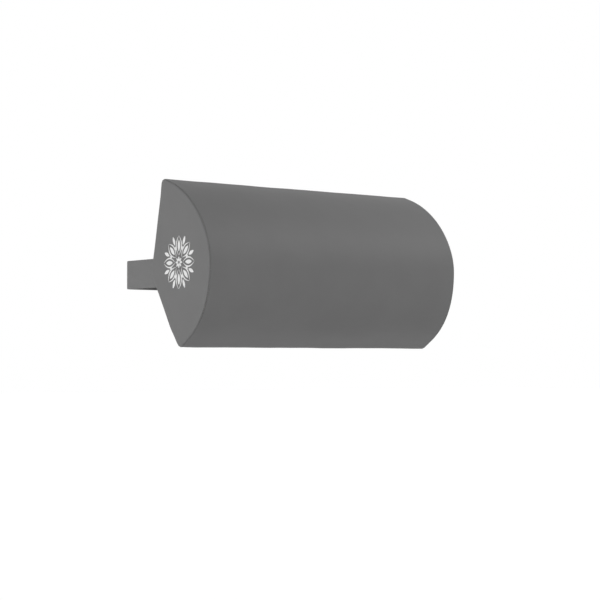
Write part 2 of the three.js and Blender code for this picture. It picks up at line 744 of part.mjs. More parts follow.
function bucklePlug() {
  const half = buckleWidth / 2
  const slim = half - plugTaper
  const corner = buckleCorner - plugTaper
  const prongThickness = cavityThickness - 2 * latchGap
  const shape = new THREE.Shape()
  shape.moveTo(plugStart, -half + buckleCorner)
  shape.quadraticCurveTo(plugStart, -half, plugStart + buckleCorner, -half)
  shape.lineTo(plugStart + plugTaperRun, -half)
  shape.quadraticCurveTo(plugEnd - plugTaperRun, -slim, plugEnd - corner, -slim)
  shape.quadraticCurveTo(plugEnd, -slim, plugEnd, -slim + corner)
  shape.lineTo(plugEnd, slim - corner)
  shape.quadraticCurveTo(plugEnd, slim, plugEnd - corner, slim)
  shape.quadraticCurveTo(plugEnd - plugTaperRun, slim, plugStart + plugTaperRun, half)
  shape.lineTo(plugStart + buckleCorner, half)
  shape.quadraticCurveTo(plugStart, half, plugStart, half - buckleCorner)
  const frame = buckleSlab(shape, buckleY, plugThickness, buckleEdgeRound)
  const strapWay = block(plugStart + plugShoulder, plugEnd + cutOver, buckleY - buckleThickness,
    buckleY + buckleThickness, strapCentreZ - slotHalf, strapCentreZ + slotHalf)
  const guideTip = socketMouth - cavityDepth + prongTipInside + barOverlap
  const guide = roundedBox(guideTip, plugStart + barOverlap, -guideWidth / 2, guideWidth / 2, guideRound)
  return named('buckle_plug', join([
    cut(frame, [strapWay]),
    buckleBar(innerBarX, innerBarX + plugInnerBar, innerBarLowY, innerBarHighY, barLength),
    buckleBar(outerBarX, plugEnd, outerBarLowY, outerBarLowY + plugOuterBarThickness, barLength),
    buckleSlab(prongShape(1), buckleY, prongThickness),
    buckleSlab(prongShape(-1), buckleY, prongThickness),
    buckleSlab(guide, buckleY, prongThickness)
  ]), colours.plastic)
}

const pillow = new THREE.Group()
pillow.add(
  ...sewnPanels(),
  endPanel('end_panel_left', -1),
  endPanel('end_panel_right', 1),
  foamCore(),
  zipEndTab('zip_end_tab_left', 1),
  zipEndTab('zip_end_tab_right', -1),
  zipTape('zip_tape_upper', 1),
  zipTape('zip_tape_lower', -1),
  topStop('zip_top_stop_upper', 1),
  topStop('zip_top_stop_lower', -1),
  bottomStop(),
  zipSlider(),
  zipPull(),
  strapLeft(),
  strapRight(),
  strapKeeper(),
  buckleSocket(),
  bucklePlug()
)

export default pillow
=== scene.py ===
"""Looks of the car neck pillow: sewn cover, foam, zip, webbing strap and side-release buckle."""

import math

import bmesh
import bpy
import numpy as np
from mathutils import Matrix, Vector, noise
from mathutils.geometry import interpolate_bezier


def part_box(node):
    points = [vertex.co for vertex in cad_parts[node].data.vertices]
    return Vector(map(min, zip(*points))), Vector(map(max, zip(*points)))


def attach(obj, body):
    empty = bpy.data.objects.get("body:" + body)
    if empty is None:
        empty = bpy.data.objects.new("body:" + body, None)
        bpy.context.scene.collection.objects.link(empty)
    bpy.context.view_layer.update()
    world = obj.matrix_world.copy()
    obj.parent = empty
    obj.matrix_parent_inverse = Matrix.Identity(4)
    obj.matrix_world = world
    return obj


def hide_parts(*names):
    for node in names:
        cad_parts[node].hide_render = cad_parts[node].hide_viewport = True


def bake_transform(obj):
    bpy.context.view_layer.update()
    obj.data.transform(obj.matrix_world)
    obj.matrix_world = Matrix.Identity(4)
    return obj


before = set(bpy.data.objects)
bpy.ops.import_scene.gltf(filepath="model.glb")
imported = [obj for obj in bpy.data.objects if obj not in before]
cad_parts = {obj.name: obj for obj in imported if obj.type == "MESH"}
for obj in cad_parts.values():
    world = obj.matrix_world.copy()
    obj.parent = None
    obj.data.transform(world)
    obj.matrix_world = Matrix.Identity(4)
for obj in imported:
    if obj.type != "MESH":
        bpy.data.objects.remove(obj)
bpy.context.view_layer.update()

# Camera: where the photograph was taken from, in the model's frame
CAMERA_AT = (-1.0548, -1.3802, -0.1303)
CAMERA_YAW = math.radians(37.945)
CAMERA_PITCH = math.radians(2.06)
FOCAL_PIXELS = 1700
PHOTO_WIDTH = 600
SENSOR_WIDTH = 36

# Floor and light: the floor and the world look white only to rays that see the background
SEEN_BY = ("Is Camera Ray", "Is Glossy Ray", "Is Transmission Ray")
FLOOR_Z = -0.42
FLOOR_HALF = 12
FLOOR_LEVEL = 0.88
GLOW_DISTANCE = (0.5, 2.2)
GLOW_STRENGTH = (0.22, 0.54)
GLOW_ALWAYS = 0.1
WORLD_STRENGTH = 0.42

# Lamps: name, place, point that it faces, size and watts
LAMPS = (
    ("side", (-1.9, 0.2, 0.1), (-0.1, 0, -0.04), (1.0, 1.0), 13.2),
    ("high", (1.1, -0.93, 1.08), (0, -0.05, -0.03), (0.6, 0.4), 12),
    ("fill", (-1.0, -1.4, -0.1), (0, -0.05, -0.03), (0.8, 0.5), 3),
    ("rear", (0.9, 1.6, -0.25), (0, 0.03, -0.03), (1.0, 0.3), 9),
)

# Bolster section, in metres, Y to the rear and Z up: from its top rear edge down the back, round the front
FACE_HEIGHT = 0.092
FACE_LEAN = math.radians(12.3)
LOWER_BACK = 0.062
LOWER_LEAN = math.radians(32)
CURL = (-0.0175, -0.019)
CURL_LEAD = 0.0078
NOSE = (-0.080, -0.083)
TOP_SLOPE = math.radians(10.4)
TOP_LEAD = 0.042
NOSE_LEAD_UP = 0.0365
NOSE_LEAD_DOWN = 0.036
BOTTOM_SLOPE = math.radians(22)
BOTTOM_LEAD = 0.036
TOP_TRIM = 0.003
APEX_TRIM = 0.009
BOTTOM_TRIM = 0.0025
LOW_STEPS = 60
HIGH_STEPS = 80
CURL_STEPS = 24
CORNER_STEPS = 8

# Cover
HALF_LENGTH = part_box("end_panel_right")[1].x
SEAM_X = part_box("front_panel")[1].x
COVER_X = HALF_LENGTH - 0.0015
CLOTH = 0.0011
SEAM_ROLL = 0.0006
SEAM_DEPTH = 0.0003
EDGE_ROLL = 0.0012
EDGE_DEPTH = 0.0007
TOP_FULLNESS = 0.0009
BOTTOM_FULLNESS = 0.0015
FULLNESS_REACH = 0.009
END_ROLL = 0.0015
END_ROLL_DEPTH = 0.0012
END_SET = 0.0002
END_DOME = 0.0007
END_DOME_REACH = 0.02
PUCKER_DEPTH = 0.00025
PUCKER_SCALE = 190
PUCKER_STRETCH = 0.4
PUCKER_START = 0.002
PUCKER_REACH = 0.006

# Slight unevenness of the cover: depth, scale and offset of each ripple
UNEVEN = ((0.00035, 16, 0), (0.00012, 55, 7))
END_UNEVEN = 0.0002
END_UNEVEN_SCALE = 28

# Rows of points: spacing over a panel, and distances from its edges
PANEL_SPACING = 0.0022
PANEL_EDGE_ROWS = (0, 0.0002, 0.0005, 0.0009, 0.0014, 0.002, 0.003)
LENGTH_SPACING = 0.0028
LENGTH_END_ROWS = (0, 0.00025, 0.0006, 0.001, 0.0015, 0.0021, 0.003, 0.0045, 0.0065)
END_RIM_POINTS = 200
END_RINGS = (0.0001, 0.0003, 0.0006, 0.001, 0.0015, 0.0022, 0.0032, 0.0045, 0.007, 0.011, 0.016, 0.022,
             0.029, 0.037, 0.046, 0.055)

# Zip, in its own frame: x to the right as seen from behind, y up the lower back, z out of the cover
ZIP_FROM_APEX = 0.038
ZIP_WINDOW = 0.012
ZIP_DEPTH = 0.0027
ZIP_PITCH = 0.003
ZIP_FROM_END = 0.047
ZIP_TEETH = round(2 * (HALF_LENGTH - ZIP_FROM_END) / ZIP_PITCH)
TAPE_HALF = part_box("zip_tape_upper")[1].x
TAPE_INNER = 0.0021
TAPE_OUTER = 0.0147
TAPE_THICK = 0.0008
TAPE_EDGE = 0.0002
BEAD_AT = 0.00255
BEAD_RADIUS = 0.00075
BEAD_END_GAP = 0.0003
TOOTH_THICK = 0.0024
TOOTH_EDGE = 0.00012
TOOTH_STAGGER = (0.25, 0.75)
TAB_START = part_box("zip_end_tab_right")[0].x
TAB_THICK = 0.0018
TAB_EDGE = 0.0006
TAB_LIFT = 0.0002
TAB_SIDE_GAP = 0.0003
STOP_GAP = 0.0004

# Half of a tooth, from its foot on the cord to its head: half width, and distance from the zip's middle
HALF_TOOTH = ((0.00105, 0.0034), (0.00105, 0.0019), (0.0005, 0.0015), (0.00042, 0.0009), (0.00075, -0.0008),
              (0.00045, -0.0014))

# Foam, and the bed in it for the zip's tapes and slider
FOAM_INSET = 0.0023
FOAM_HALF = SEAM_X - 0.0022
FOAM_ROUND = 0.002
FOAM_SPACING = 0.003
FOAM_LENGTH_SPACING = 0.006
FOAM_END_ROWS = (0, 0.0003, 0.0008, 0.0014, 0.002, 0.003)
BED_REACH = 0.018
BED_SPACING = 0.0006
BED_MARGIN = 0.0005
TAPE_BED = 0.0014
TAPE_BED_GAP = 0.0003
TAPE_BED_SLOPE = 0.0015
SLIDER_BED = 0.0016
SLIDER_BED_HALF = 0.0056
SLIDER_BED_SLOPE = 0.001

# Strap and buckle
STRAP_THICK = 0.0018
STRAP_GAP = 0.0003
STRAP_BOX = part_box("strap_left")
STRAP_WIDTH = STRAP_BOX[1].z - STRAP_BOX[0].z
STRAP_MID_Z = (STRAP_BOX[1].z + STRAP_BOX[0].z) / 2
STRAP_REAR_Y = 0.0582994
STRAP_FOLD = 0.0014
STRAP_BEND = 0.006
STRAP_SPACING = 0.003
SLOT_END = 0.001
SQUEEZE_REACH = 0.012
SECOND_Y = STRAP_REAR_Y + STRAP_THICK + STRAP_GAP
SEWN_LOOP = 0.024
FREE_TAIL = 0.066
SOCKET_BAR = 0.004
SOCKET_BAR_THICK = 0.0032
INNER_BAR_X = 0.022
INNER_BAR = 0.0034
INNER_BAR_THICK = 0.0025
SOCKET_CLEARANCE = 0.0007
BAR_CLEARANCE = 0.0004
BEND_POINTS = 9
KEEPER_WALL = 0.0012
KEEPER_ROUND = 0.0011
KEEPER_SPACING = 0.002

# Webbing thins towards its edges: distance from the edge, and share of the thickness
SELVEDGE = ((0, 0.45), (0.0005, 0.88), (0.0013, 1))

# Stitches: pitch, length and radius of a row's stitches, and how far they lie from edges
TOPSTITCH = (0.0032, 0.0025, 0.00022)
TOPSTITCH_FROM_SLIT = 0.0028
TOPSTITCH_HALF = 0.1495
TOPSTITCH_LIFT = 0.00005
BOX_STITCH = (0.0026, 0.0021, 0.00025)
BOX_STITCH_LIFT = 0.00006
BOX_FROM_END = 0.003
BOX_FROM_FOLD = 0.0035
BOX_FROM_EDGE = 0.0032
THREAD_FLATTENING = 0.9

# Embroidered rosette on the left end, in (y, z)
ROSETTE_AT = (-0.0400, -0.0366)
RAYS = 8
THREAD_RISE = 0.0004
THREAD_SUNK = 0.0001
PETAL_TIP = 0.00012
PETAL_FULLNESS = 0.85
PETAL_ROWS = 14
BOW_AT_TIP = 0.03

# Petals of each ray: turn towards the next ray, then start, end, width and sideways bow in metres
PETALS = (
    (0, 0.0065, 0.0255, 0.0013, 0.0044),
    (0, 0.0065, 0.0255, 0.0013, -0.0044),
    (0, 0.0105, 0.0215, 0.0042, 0),
    (0.5, 0.0125, 0.0165, 0.0018, 0),
    (0.5, 0.0175, 0.0265, 0.0036, 0),
    (0, 0.0012, 0.0056, 0.0022, 0),
)

# Across a petal: places as shares of its half width, and the thread's rise at each
PETAL_ACROSS = (-1, -0.8, -0.5, -0.12, 0, 0.12, 0.5, 0.8, 1)
PETAL_RISE = (0, 0.75, 1, 0.8, 0.45, 0.8, 1, 0.75, 0)

# Rigid pieces: limits for merging points and for joining flat faces
SAME_POINT = 1e-6
COLLAPSED = 2e-6
FLAT_ANGLE = math.radians(1)

SEED = 11


# Section of the bolster
def flat(y, z):
    """A point or direction in the section's plane."""
    return Vector((0.0, y, z))


def run_length(points):
    return sum((b - a).length for a, b in zip(points, points[1:]))


def quadratic(before, corner, after, steps):
    """Points of a curve from one point to another that leans towards a corner."""
    shares = [i / steps for i in range(steps + 1)]
    return [before * (1 - t) ** 2 + corner * 2 * t * (1 - t) + after * t**2 for t in shares]


def trimmed(points, start, end):
    """A run of points without its first and last stretch."""
    steps = [(b - a).length for a, b in zip(points, points[1:])]
    travel = np.concatenate([[0], np.cumsum(steps)])
    close = 1e-6
    kept = [p for p, s in zip(points, travel) if start + close < s < travel[-1] - end - close]
    ends = [Vector([np.interp(s, travel, [p[k] for p in points]) for k in range(3)])
            for s in (start, travel[-1] - end)]
    return [ends[0], *kept, ends[1]]


def make_section():
    """The section as a closed run of points, with the places of the zip and of the bottom seam along it."""
    face_up = flat(-math.sin(FACE_LEAN), math.cos(FACE_LEAN))
    back_down = flat(-math.sin(LOWER_LEAN), -math.cos(LOWER_LEAN))
    top = face_up * FACE_HEIGHT / 2
    apex = -top
    under = apex + back_down * LOWER_BACK
    bottom = under + flat(*CURL)
    nose = top + flat(*NOSE)
    bottom_guide = bottom + flat(-math.cos(BOTTOM_SLOPE), math.sin(BOTTOM_SLOPE)) * BOTTOM_LEAD
    top_guide = top + flat(-math.cos(TOP_SLOPE), -math.sin(TOP_SLOPE)) * TOP_LEAD
    low = interpolate_bezier(bottom, bottom_guide, nose - flat(0, NOSE_LEAD_DOWN), nose, LOW_STEPS)
    high = interpolate_bezier(nose, nose + flat(0, NOSE_LEAD_UP), top_guide, top, HIGH_STEPS)
    face = trimmed([top, apex], TOP_TRIM, APEX_TRIM)
    lower = trimmed([apex, under], APEX_TRIM, 0)
    curl = trimmed(quadratic(under, under + back_down * CURL_LEAD, bottom, CURL_STEPS), 0, BOTTOM_TRIM)
    front = trimmed([*low, *high[1:]], BOTTOM_TRIM, TOP_TRIM)
    before_zip = face + quadratic(face[-1], apex, lower[0], CORNER_STEPS)[1:]
    zip_at = run_length(before_zip) + ZIP_FROM_APEX - APEX_TRIM
    loop = before_zip + lower[1:] + curl[1:]
    bottom_seam = run_length(loop)
    loop += quadratic(loop[-1], bottom, front[0], CORNER_STEPS)[1:-1] + front
    loop += quadratic(loop[-1], top, face[0], CORNER_STEPS)[1:]
    return loop, zip_at, bottom_seam


SECTION, ZIP_AT, BOTTOM_SEAM = make_section()
PERIMETER = run_length(SECTION)


def even_section(spacing=0.0005, softening=5):
    """The section as evenly spaced points with outward normals, smoothed a little where its runs meet."""
    y = [p.y for p in SECTION]
    z = [p.z for p in SECTION]
    travel = np.concatenate([[0], np.cumsum(np.hypot(np.diff(y), np.diff(z)))])
    even = np.arange(0, travel[-1], spacing)
    points = np.stack([np.interp(even, travel, y), np.interp(even, travel, z)], 1)
    window = np.hanning(softening)
    window /= window.sum()
    wrapped = np.concatenate([points[-softening:], points, points[:softening]])
    smooth = [np.convolve(wrapped[:, k], window, "same")[softening:-softening] for k in range(2)]
    smooth = np.stack(smooth, 1)
    ahead = np.roll(smooth, -2, 0) - np.roll(smooth, 2, 0)
    normals = np.stack([-ahead[:, 1], ahead[:, 0]], 1)
    normals /= np.linalg.norm(normals, axis=1)[:, None]
    for seam, fullness in ((0, TOP_FULLNESS), (PERIMETER, TOP_FULLNESS), (BOTTOM_SEAM, BOTTOM_FULLNESS)):
        swell = fullness * np.exp(-(((even - seam) / FULLNESS_REACH) ** 2))
        smooth = smooth + normals * swell[:, None]
    return even, smooth, normals


EVEN, EVEN_POINTS, EVEN_NORMALS = even_section()
MIDDLE = EVEN_POINTS.mean(0)


def on_section(travel, inward=0.0):
    """The point at a distance along the section, moved inwards, as (y, z)."""
    point = [np.interp(travel, EVEN, EVEN_POINTS[:, k], period=PERIMETER) for k in range(2)]
    normal = [np.interp(travel, EVEN, EVEN_NORMALS[:, k], period=PERIMETER) for k in range(2)]
    return point[0] - normal[0] * inward, point[1] - normal[1] * inward


def outward_at(travel):
    """The section's outward direction at a distance along it."""
    return Vector((0, *(np.interp(travel, EVEN, EVEN_NORMALS[:, k], period=PERIMETER) for k in range(2))))


FULL_TURN = 2 * math.pi
RIM_ANGLES = np.arctan2(*(EVEN_POINTS - MIDDLE).T[::-1]) % FULL_TURN
RIM_REACH = np.linalg.norm(EVEN_POINTS - MIDDLE, axis=1)
RIM_ORDER = np.argsort(RIM_ANGLES)


def from_rim(y, z):
    """How far a point of an end panel lies from its seam, along the line from the panel's middle."""
    angle = math.atan2(z - MIDDLE[1], y - MIDDLE[0]) % FULL_TURN
    rim = np.interp(angle, RIM_ANGLES[RIM_ORDER], RIM_REACH[RIM_ORDER], period=FULL_TURN)
    return max(0.0, rim - END_SET - math.hypot(y - MIDDLE[0], z - MIDDLE[1]))


# Mesh helpers
def finish_mesh(name, bm, material, sharp_above=None):
    """An object in place from a bmesh, smooth except along edges sharper than an angle in degrees."""
    mesh = bpy.data.meshes.new(name)
    bm.to_mesh(mesh)
    bm.free()
    piece = bpy.data.objects.new(name, mesh)
    bpy.context.scene.collection.objects.link(piece)
    mesh.materials.append(material)
    mesh.shade_smooth()
    if sharp_above is not None:
        mesh.set_sharp_from_angle(angle=math.radians(sharp_above))
    return piece


def seat(piece, body, slot, *nodes):
    """Gives a finished piece its body and hides the nodes that it stands for. The slot is not used."""
    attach(piece, body)
    if nodes:
        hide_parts(*nodes)
    return piece


def pull_out(bm, edges, move):
    """Extrudes edges, moves the new row, and returns its vertices and edges."""
    made = bmesh.ops.extrude_edge_only(bm, edges=edges)["geom"]
    verts = [g for g in made if isinstance(g, bmesh.types.BMVert)]
    fresh = set(verts)
    row = [g for g in made if isinstance(g, bmesh.types.BMEdge) and set(g.verts) <= fresh]
    bmesh.ops.translate(bm, verts=verts, vec=move)
    return verts, row


def soft_step(share):
    """0 to 1 with soft ends."""
    share = min(max(share, 0.0), 1.0)
    return share * share * (3 - 2 * share)


def roll(distance, radius, depth):
    """How far cloth turns in, at a distance from a seam, over a quarter round."""
    share = min(max(distance / radius, 0.0), 1.0)
    return depth * (1 - math.sqrt(1 - (1 - share) ** 2))


def ripple(x, travel, scale, offset=0.0):
    """Smooth seeded unevenness between about -1 and 1."""
    return noise.noise(Vector((x * scale + offset, travel * scale, SEED + offset)))


def between(start, end, fine, near):
    """Places from start to end, closer together by the ends."""
    gap = near[-1] + fine
    middle = np.linspace(start + gap, end - gap, max(2, round((end - start - 2 * gap) / fine)))
    return [start + s for s in near] + list(middle) + [end - s for s in reversed(near)]


# Materials
def new_material(name, colour, roughness):
    """A material with its node tree and its shader."""
    material = bpy.data.materials.new(name)
    material.use_nodes = True
    shader = material.node_tree.nodes["Principled BSDF"]
    shader.inputs["Base Color"].default_value = (*colour, 1)
    shader.inputs["Roughness"].default_value = roughness
    return material, material.node_tree, shader


def add(tree, kind, inputs=None, **settings):
    """A node with its settings, and with a value or a link on each input named."""
    node = tree.nodes.new(kind)
    for key, value in settings.items():
        setattr(node, key, value)
    for key, value in (inputs or {}).items():
        if isinstance(value, bpy.types.NodeSocket):
            tree.links.new(value, node.inputs[key])
        else:
            node.inputs[key].default_value = value
    return node


def calc(tree, operation, first, second=0.0):
    return add(tree, "ShaderNodeMath", {0: first, 1: second}, operation=operation).outputs[0]


def on_piece(tree):
    return add(tree, "ShaderNodeTexCoord").outputs["Object"]


def speckle(tree, scale, detail=2.0):
    return add(tree, "ShaderNodeTexNoise",
               {"Vector": on_piece(tree), "Scale": scale, "Detail": detail}).outputs["Fac"]


def blended(tree, first, share, second):
    """One pattern and a share of another."""
    return calc(tree, "ADD", first, calc(tree, "MULTIPLY", second, share))


def tinted(tree, factor, dark, light, low=0.3, high=0.7):
    """A colour that goes from dark to light as a 0 to 1 factor does."""
    ramp = add(tree, "ShaderNodeValToRGB", {"Fac": factor})
    for element, position, colour in zip(ramp.color_ramp.elements, (low, high), (dark, light)):
        element.position = position
        element.color = (*colour, 1)
    return ramp.outputs["Color"]


def grey(level):
    return (level, level, level)


def bump(tree, shader, height, distance, strength):
    node = add(tree, "ShaderNodeBump", {"Height": height, "Distance": distance, "Strength": strength})
    tree.links.new(node.outputs["Normal"], shader.inputs["Normal"])


def rough_between(tree, shader, factor, low, high):
    spread = add(tree, "ShaderNodeMapRange", {"Value": factor, "To Min": low, "To Max": high})
    tree.links.new(spread.outputs["Result"], shader.inputs["Roughness"])


def leatherette(name, level):
    """Smooth coated cover cloth: satin, with a very fine pebbled grain."""
    material, tree, shader = new_material(name, grey(level), 0.5)
    speck = speckle(tree, scale=1700)
    mixed = blended(tree, calc(tree, "MULTIPLY", speckle(tree, 22, 3), 0.6), 0.4, speck)
    colour = tinted(tree, mixed, grey(level * 0.95), grey(level * 1.05))
    tree.links.new(colour, shader.inputs["Base Color"])
    cells = add(tree, "ShaderNodeTexVoronoi", {"Vector": on_piece(tree), "Scale": 1100},
                feature="DISTANCE_TO_EDGE")
    pebble = calc(tree, "MINIMUM", cells.outputs["Distance"], 0.35)
    bump(tree, shader, blended(tree, pebble, 0.5, speck), distance=0.00006, strength=0.35)
    rough_between(tree, shader, mixed, low=0.56, high=0.66)
    shader.inputs["Specular IOR Level"].default_value = 0.2
    return material


def woven(name, level, pitch, roughness=0.85, depth=0.00012):
    """Plain weave: the piece's own UV runs along it and across it, in metres."""
    material, tree, shader = new_material(name, grey(level), roughness)
    uv = add(tree, "ShaderNodeUVMap", uv_map="weave").outputs["UV"]
    split = add(tree, "ShaderNodeSeparateXYZ", {"Vector": uv})
    row = calc(tree, "FLOOR", calc(tree, "DIVIDE", split.outputs["Y"], pitch))
    along = blended(tree, calc(tree, "MULTIPLY", split.outputs["X"], math.pi / pitch), math.pi, row)
    over = calc(tree, "ABSOLUTE", calc(tree, "SINE", calc(tree, "MULTIPLY", along, 0.5)))
    across = calc(tree, "MULTIPLY", split.outputs["Y"], math.pi / pitch)
    rib = calc(tree, "ABSOLUTE", calc(tree, "SINE", across))
    relief = blended(tree, calc(tree, "MULTIPLY", over, rib), 0.35, speckle(tree, 2600))
    colour = tinted(tree, relief, grey(level * 0.75), grey(level * 1.12), low=0.15, high=0.95)
    tree.links.new(colour, shader.inputs["Base Color"])
    bump(tree, shader, relief, depth, strength=0.8)
    shader.inputs["Sheen Weight"].default_value = 0.15
    return material


def knitted(name, level, wale=0.0016, course=0.0013):
    """Matt knitted cloth on the back of the cover: upright columns of V-shaped loops."""
    material, tree, shader = new_material(name, grey(level), 0.9)
    split = add(tree, "ShaderNodeSeparateXYZ", {"Vector": on_piece(tree)})
    column = calc(tree, "PINGPONG", calc(tree, "DIVIDE", split.outputs["X"], wale), 0.5)
    leg = calc(tree, "SINE", calc(tree, "MULTIPLY", column, 2 * math.pi))
    row = calc(tree, "ADD", calc(tree, "DIVIDE", split.outputs["Z"], course), column)
    loop = calc(tree, "ABSOLUTE", calc(tree, "SINE", calc(tree, "MULTIPLY", row, math.pi)))
    relief = calc(tree, "MULTIPLY", leg, calc(tree, "ADD", loop, 0.3))
    mixed = blended(tree, calc(tree, "MULTIPLY", relief, 0.7), 0.3, speckle(tree, 2200, 3))
    colour = tinted(tree, mixed, grey(level * 0.82), grey(level * 1.12), low=0.15, high=0.95)
    tree.links.new(colour, shader.inputs["Base Color"])
    bump(tree, shader, mixed, distance=0.00014, strength=0.7)
    shader.inputs["Sheen Weight"].default_value = 0.2
    return material


def moulded(name, level):
    """Moulded plastic with a fine spark-eroded texture."""
    material, tree, shader = new_material(name, grey(level), 0.45)
    grain = speckle(tree, scale=2400, detail=3)
    tree.links.new(tinted(tree, speckle(tree, 60), grey(level * 0.92), grey(level * 1.1)),
                   shader.inputs["Base Color"])
    bump(tree, shader, grain, distance=0.00004, strength=0.5)
    rough_between(tree, shader, grain, low=0.36, high=0.56)
    return material


def plated(name, level):
    """Satin plated zip metal."""
    material, tree, shader = new_material(name, grey(level), 0.32)
    shader.inputs["Metallic"].default_value = 1.0
    haze = speckle(tree, scale=400, detail=4)
    tree.links.new(tinted(tree, haze, grey(level * 0.9), grey(level * 1.08)), shader.inputs["Base Color"])
    bump(tree, shader, haze, distance=0.00001, strength=0.3)
    rough_between(tree, shader, haze, low=0.24, high=0.42)
    return material


def open_foam(name):
    """Cut foam with open cells."""
    material, tree, shader = new_material(name, (0.8, 0.76, 0.66), 0.95)
    cells = add(tree, "ShaderNodeTexVoronoi", {"Vector": on_piece(tree), "Scale": 900}).outputs["Distance"]
    colour = tinted(tree, cells, (0.7, 0.65, 0.54), (0.84, 0.8, 0.7), low=0.1, high=0.7)
    tree.links.new(colour, shader.inputs["Base Color"])
    bump(tree, shader, cells, distance=0.0003, strength=0.6)
    return material


def sewing_thread(name, level):
    """Twisted polyester thread."""
    material, tree, shader = new_material(name, grey(level), 0.55)
    twist = add(tree, "ShaderNodeTexWave", {"Vector": on_piece(tree), "Scale": 900, "Distortion": 1.5},
                bands_direction="DIAGONAL")
    tree.links.new(tinted(tree, twist.outputs["Fac"], grey(level * 0.85), grey(level * 1.1)),
                   shader.inputs["Base Color"])
    bump(tree, shader, twist.outputs["Fac"], distance=0.00005, strength=0.6)
    shader.inputs["Sheen Weight"].default_value = 0.2
    return material


def satin_stitch(name, level, pitch=0.00042):
    """Embroidery: threads laid slantwise across each petal, whose UV runs along and across it in metres."""
    material, tree, shader = new_material(name, grey(level), 0.5)
    uv = add(tree, "ShaderNodeUVMap", uv_map="weave").outputs["UV"]
    split = add(tree, "ShaderNodeSeparateXYZ", {"Vector": uv})
    slant = blended(tree, split.outputs["X"], 0.6, calc(tree, "ABSOLUTE", split.outputs["Y"]))
    thread = calc(tree, "ABSOLUTE", calc(tree, "SINE", calc(tree, "MULTIPLY", slant, math.pi / pitch)))
    relief = blended(tree, thread, 0.3, speckle(tree, 2600))
    tree.links.new(tinted(tree, relief, grey(level * 0.8), grey(level), low=0.1, high=0.8),
                   shader.inputs["Base Color"])
    bump(tree, shader, relief, distance=0.0001, strength=0.6)
    shader.inputs["Sheen Weight"].default_value = 0.2
    return material


COVER = leatherette("cover_leatherette", 0.152)
BACKING = knitted("back_knit", 0.13)
WEBBING = woven("strap_webbing", 0.15, 0.0011)
ELASTIC = woven("keeper_elastic", 0.12, 0.0008)
TAPE = woven("zip_tape_weave", 0.11, 0.0006, depth=0.00006)
PLASTIC = moulded("buckle_plastic", 0.035)
TOOTH_PLASTIC = moulded("tooth_plastic", 0.09)
METAL = plated("zip_plating", 0.42)
FOAM = open_foam("foam")
GREY_THREAD = sewing_thread("grey_thread", 0.21)
WHITE_THREAD = satin_stitch("white_embroidery", 0.8)


# Cover panels
def strap_squeeze(x, z):
    """Moves the back panel's end in where the strap comes out of the end seam."""
    beyond = abs(z - STRAP_MID_Z) - STRAP_WIDTH / 2
    share = 1 - soft_step(beyond / SLOT_END)
    reach = soft_step((abs(x) - COVER_X + SQUEEZE_REACH) / SQUEEZE_REACH)
    return x - math.copysign(STRAP_THICK, x) * share * reach


def cover_dent(x, travel, start, end):
    """How far the cover lies inside the section: rolls at its seams, puckers and slight unevenness."""
    from_end = COVER_X - abs(x)
    from_edge = min(travel - start, end - travel)
    dent = roll(from_end, SEAM_ROLL, SEAM_DEPTH) + roll(from_edge, EDGE_ROLL, EDGE_DEPTH)
    puckers = ripple(PUCKER_STRETCH * x, travel, PUCKER_SCALE, 3) * math.exp(-from_end / PUCKER_REACH)
    dent += PUCKER_DEPTH * puckers * min(1, from_end / PUCKER_START)
    for depth, scale, offset in UNEVEN:
        dent += depth * ripple(x, travel, scale, offset)
    return dent


def cover_panel(name, start, end, material, squeeze=None):
    """A run of the section extruded along the pillow, laid on the foam and given the cloth's thickness."""
    bm = bmesh.new()
    layer = bm.verts.layers.float.new("travel")
    across = between(start, end, PANEL_SPACING, PANEL_EDGE_ROWS)
    if squeeze:
        down = EVEN < end
        for z in (STRAP_MID_Z + STRAP_WIDTH / 2, STRAP_MID_Z - STRAP_WIDTH / 2):
            edge = np.interp(-z, -EVEN_POINTS[down, 1], EVEN[down])
            across += [edge + s for s in np.arange(-2, 3) * SLOT_END / 2]
        across.sort()
    along = between(-COVER_X, COVER_X, LENGTH_SPACING, LENGTH_END_ROWS)
    chain = [bm.verts.new((along[0], *on_section(travel))) for travel in across]
    for vert, travel in zip(chain, across):
        vert[layer] = travel
    edges = [bm.edges.new(pair) for pair in zip(chain, chain[1:])]
    for here, there in zip(along, along[1:]):
        edges = pull_out(bm, edges, (there - here, 0, 0))[1]
    for vert in bm.verts:
        x = vert.co.x
        y, z = on_section(vert[layer], cover_dent(x, vert[layer], start, end))
        vert.co = (squeeze(x, z) if squeeze else x, y, z)
    face_out(bm, Vector((0, *MIDDLE)))
    piece = finish_mesh(name, bm, material)
    give_thickness(piece)
    return piece


def face_out(bm, middle):
    """Turns an open sheet's faces away from a point inside."""
    bm.normal_update()
    votes = sum(f.calc_area() * f.normal.dot(f.calc_center_median() - middle) for f in bm.faces)
    if votes < 0:
        bmesh.ops.reverse_faces(bm, faces=bm.faces[:])


def give_thickness(piece):
    """Gives a sheet the cloth's thickness, inwards."""
    solid = piece.modifiers.new("thickness", "SOLIDIFY")
    solid.thickness = CLOTH
    solid.offset = -1


def cover_panels():
    window = ZIP_WINDOW / 2
    runs = (
        ("front_cover", "front_panel", BOTTOM_SEAM, PERIMETER, COVER, "cover", None),
        ("back_cover_upper", "back_panel_upper", 0, ZIP_AT - window, BACKING, "back_cover", strap_squeeze),
        ("back_cover_lower", "back_panel_lower", ZIP_AT + window, BOTTOM_SEAM, BACKING, "back_cover", None),
    )
    for name, node, start, end, material, slot, squeeze in runs:
        piece = cover_panel(name, start, end, material, squeeze)
        seat(piece, "pillow", slot, node)


